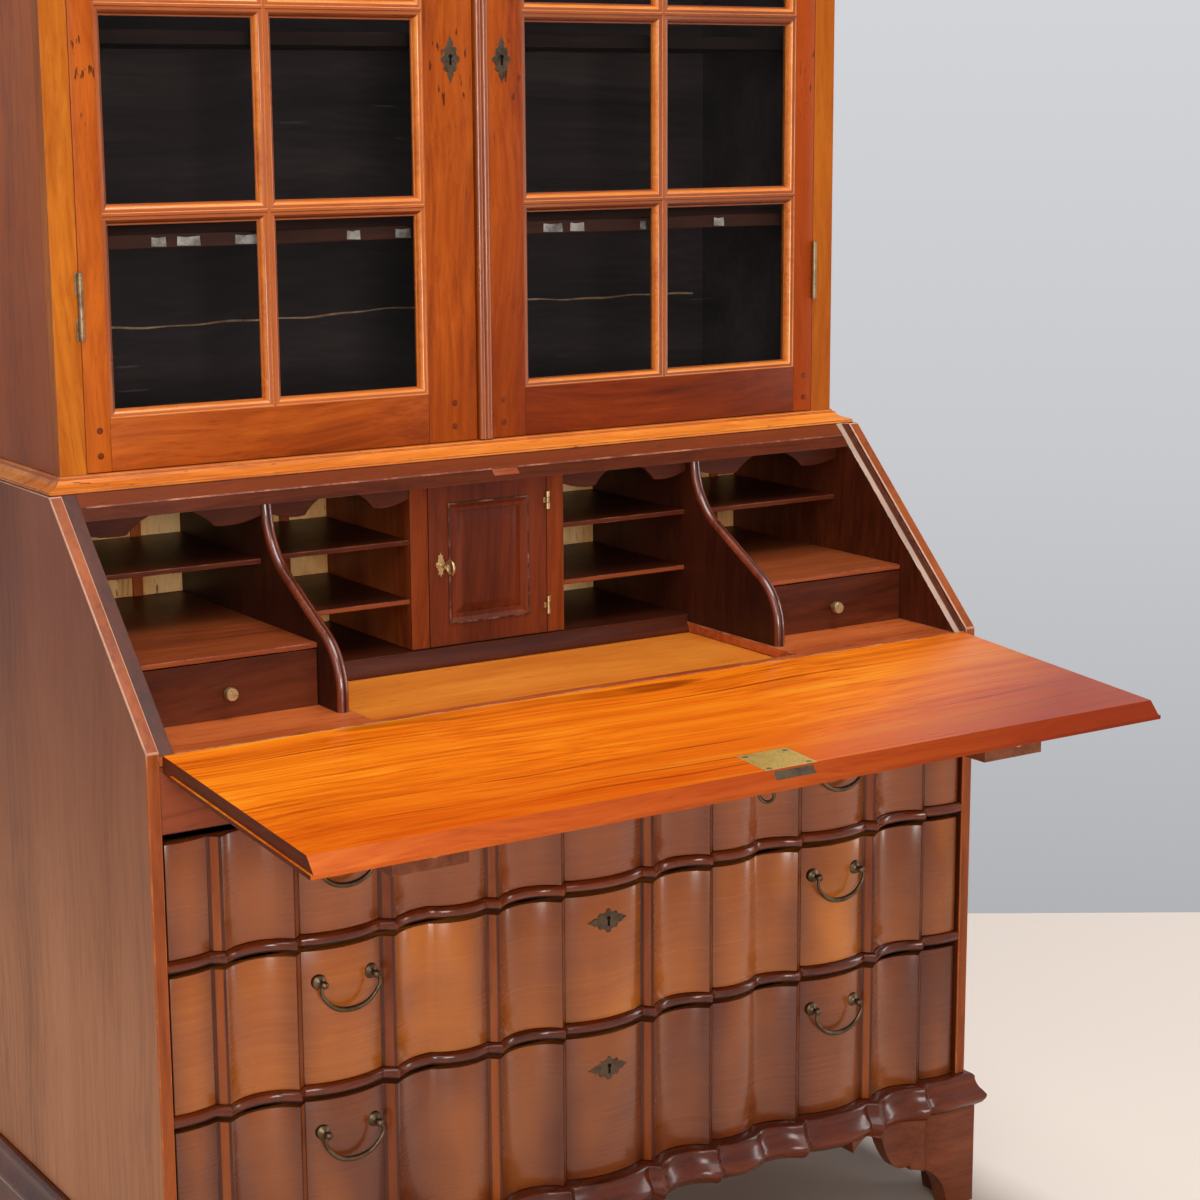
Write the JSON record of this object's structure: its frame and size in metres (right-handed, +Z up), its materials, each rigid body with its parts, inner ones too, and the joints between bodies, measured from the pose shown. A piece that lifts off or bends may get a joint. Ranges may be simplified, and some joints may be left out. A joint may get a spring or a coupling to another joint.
{
  "type": "bureau cabinet",
  "caption": "Bureau bookcase: bracket feet, drawers with a shaped wavy front, a sloping fall flap on pull-out lopers, a fitted writing interior and glazed doors above.",
  "frame": {"origin": "on the floor, under the middle of the bounding box with the flap open", "axes": "+Z up, -Y towards the person at the desk, +X to that person's right"},
  "size_m": [1.182, 0.8828, 2.164],
  "materials": {
    "mahogany": "worn satin polish",
    "polished_mahogany": "worn gloss polish",
    "dark_mahogany": "glossy polish",
    "pine": "raw",
    "antique_brass": "tarnished",
    "iron": "dark, rubbed",
    "glass": "clear old glass"
  },
  "bodies": {
    "case": {"case_sides": "mahogany", "desk_linings": "mahogany", "back_boards": "pine", "bottom_board": "pine", "desk_top_board": "mahogany", "writing_bed": "mahogany", "frieze_rail": "mahogany", "well_box": "pine", "drawer_rails": "mahogany", "drawer_runners": "pine", "loper_guides": "pine", "base_moulding": "dark_mahogany", "bracket_feet": "mahogany", "waist_moulding": "mahogany", "interior_rail": "mahogany", "curved_partitions": "mahogany", "interior_base": "mahogany", "door_posts": "mahogany", "pigeonhole_shelves": "mahogany", "valances": "mahogany", "fixed_hinges": "antique_brass", "cabinet_sides": "mahogany", "cabinet_boards": "pine", "cabinet_face_frame": "mahogany", "cabinet_shelves": "pine", "cornice": "mahogany"},
    "flap": {"flap_board": "polished_mahogany", "flap_lock": "antique_brass"},
    "flap_key": {"flap_key": "iron"},
    "well_cover": {"well_cover": "polished_mahogany"},
    "loper_left": {"loper_left": "mahogany"},
    "loper_right": {"loper_right": "mahogany"},
    "drawer_top": {"drawer_front_top": "mahogany", "drawer_box_top": "pine", "drawer_brasses_top": "antique_brass"},
    "bail_left_top": {"bail_left_top": "antique_brass"},
    "bail_right_top": {"bail_right_top": "antique_brass"},
    "drawer_middle": {"drawer_front_middle": "mahogany", "drawer_box_middle": "pine", "drawer_brasses_middle": "antique_brass"},
    "bail_left_middle": {"bail_left_middle": "antique_brass"},
    "bail_right_middle": {"bail_right_middle": "antique_brass"},
    "drawer_bottom": {"drawer_front_bottom": "mahogany", "drawer_box_bottom": "pine", "drawer_brasses_bottom": "antique_brass"},
    "bail_left_bottom": {"bail_left_bottom": "antique_brass"},
    "bail_right_bottom": {"bail_right_bottom": "antique_brass"},
    "inner_drawer_left": {"inner_drawer_left": "mahogany", "inner_knob_left": "antique_brass"},
    "inner_drawer_right": {"inner_drawer_right": "mahogany", "inner_knob_right": "antique_brass"},
    "prospect_door": {"prospect_door": "mahogany", "prospect_brasses": "antique_brass"},
    "prospect_key": {"prospect_key": "iron"},
    "door_left": {"door_frame_left": "mahogany", "door_panes_left": "glass", "door_brasses_left": "antique_brass"},
    "door_right": {"door_frame_right": "mahogany", "door_panes_right": "glass", "door_brasses_right": "antique_brass"}
  },
  "joints": [
    {"name": "flap_hinge", "type": "hinge", "parent": "case", "child": "flap", "pos_m": [0, -0.10264, 0.767], "axis": [1, 0, 0], "range_deg": [-139.7, 0]},
    {"name": "flap_key_turn", "type": "hinge", "parent": "flap", "child": "flap_key", "pos_m": [0.021, -0.38648, 0.72711], "axis": [0, 0.0732, -0.9973], "range_deg": [-90, 90]},
    {"name": "well_cover_slide", "type": "slide", "parent": "case", "child": "well_cover", "axis": [0, 1, 0], "range_m": [0, 0.23]},
    {"name": "loper_left_slide", "type": "slide", "parent": "case", "child": "loper_left", "axis": [0, -1, 0], "range_m": [-0.27, 0]},
    {"name": "loper_right_slide", "type": "slide", "parent": "case", "child": "loper_right", "axis": [0, -1, 0], "range_m": [-0.27, 0]},
    {"name": "drawer_top_slide", "type": "slide", "parent": "case", "child": "drawer_top", "axis": [0, -1, 0], "range_m": [0, 0.36]},
    {"name": "bail_left_top_lift", "type": "hinge", "parent": "drawer_top", "child": "bail_left_top", "pos_m": [-0.339, -0.11664, 0.63], "axis": [-1, 0, 0], "range_deg": [0, 90]},
    {"name": "bail_right_top_lift", "type": "hinge", "parent": "drawer_top", "child": "bail_right_top", "pos_m": [0.339, -0.11664, 0.63], "axis": [-1, 0, 0], "range_deg": [0, 90]},
    {"name": "drawer_middle_slide", "type": "slide", "parent": "case", "child": "drawer_middle", "axis": [0, -1, 0], "range_m": [0, 0.36]},
    {"name": "bail_left_middle_lift", "type": "hinge", "parent": "drawer_middle", "child": "bail_left_middle", "pos_m": [-0.339, -0.11664, 0.489], "axis": [-1, 0, 0], "range_deg": [0, 90]},
    {"name": "bail_right_middle_lift", "type": "hinge", "parent": "drawer_middle", "child": "bail_right_middle", "pos_m": [0.339, -0.11664, 0.489], "axis": [-1, 0, 0], "range_deg": [0, 90]},
    {"name": "drawer_bottom_slide", "type": "slide", "parent": "case", "child": "drawer_bottom", "axis": [0, -1, 0], "range_m": [0, 0.36]},
    {"name": "bail_left_bottom_lift", "type": "hinge", "parent": "drawer_bottom", "child": "bail_left_bottom", "pos_m": [-0.339, -0.11664, 0.316], "axis": [-1, 0, 0], "range_deg": [0, 90]},
    {"name": "bail_right_bottom_lift", "type": "hinge", "parent": "drawer_bottom", "child": "bail_right_bottom", "pos_m": [0.339, -0.11664, 0.316], "axis": [-1, 0, 0], "range_deg": [0, 90]},
    {"name": "inner_drawer_left_slide", "type": "slide", "parent": "case", "child": "inner_drawer_left", "axis": [0, -1, 0], "range_m": [0, 0.15]},
    {"name": "inner_drawer_right_slide", "type": "slide", "parent": "case", "child": "inner_drawer_right", "axis": [0, -1, 0], "range_m": [0, 0.15]},
    {"name": "prospect_door_hinge", "type": "hinge", "parent": "case", "child": "prospect_door", "pos_m": [0.0834, 0.14861, 0.8779], "axis": [0, 0, 1], "range_deg": [0, 105]},
    {"name": "prospect_key_turn", "type": "hinge", "parent": "prospect_door", "child": "prospect_key", "pos_m": [-0.0678, 0.15136, 0.878], "axis": [0, -1, 0], "range_deg": [-90, 90]},
    {"name": "door_left_hinge", "type": "hinge", "parent": "case", "child": "door_left", "pos_m": [-0.5036, 0.16081, 1.528], "axis": [0, 0, -1], "range_deg": [0, 110]},
    {"name": "door_right_hinge", "type": "hinge", "parent": "case", "child": "door_right", "pos_m": [0.5036, 0.16081, 1.528], "axis": [0, 0, 1], "range_deg": [0, 110]}
  ]
}
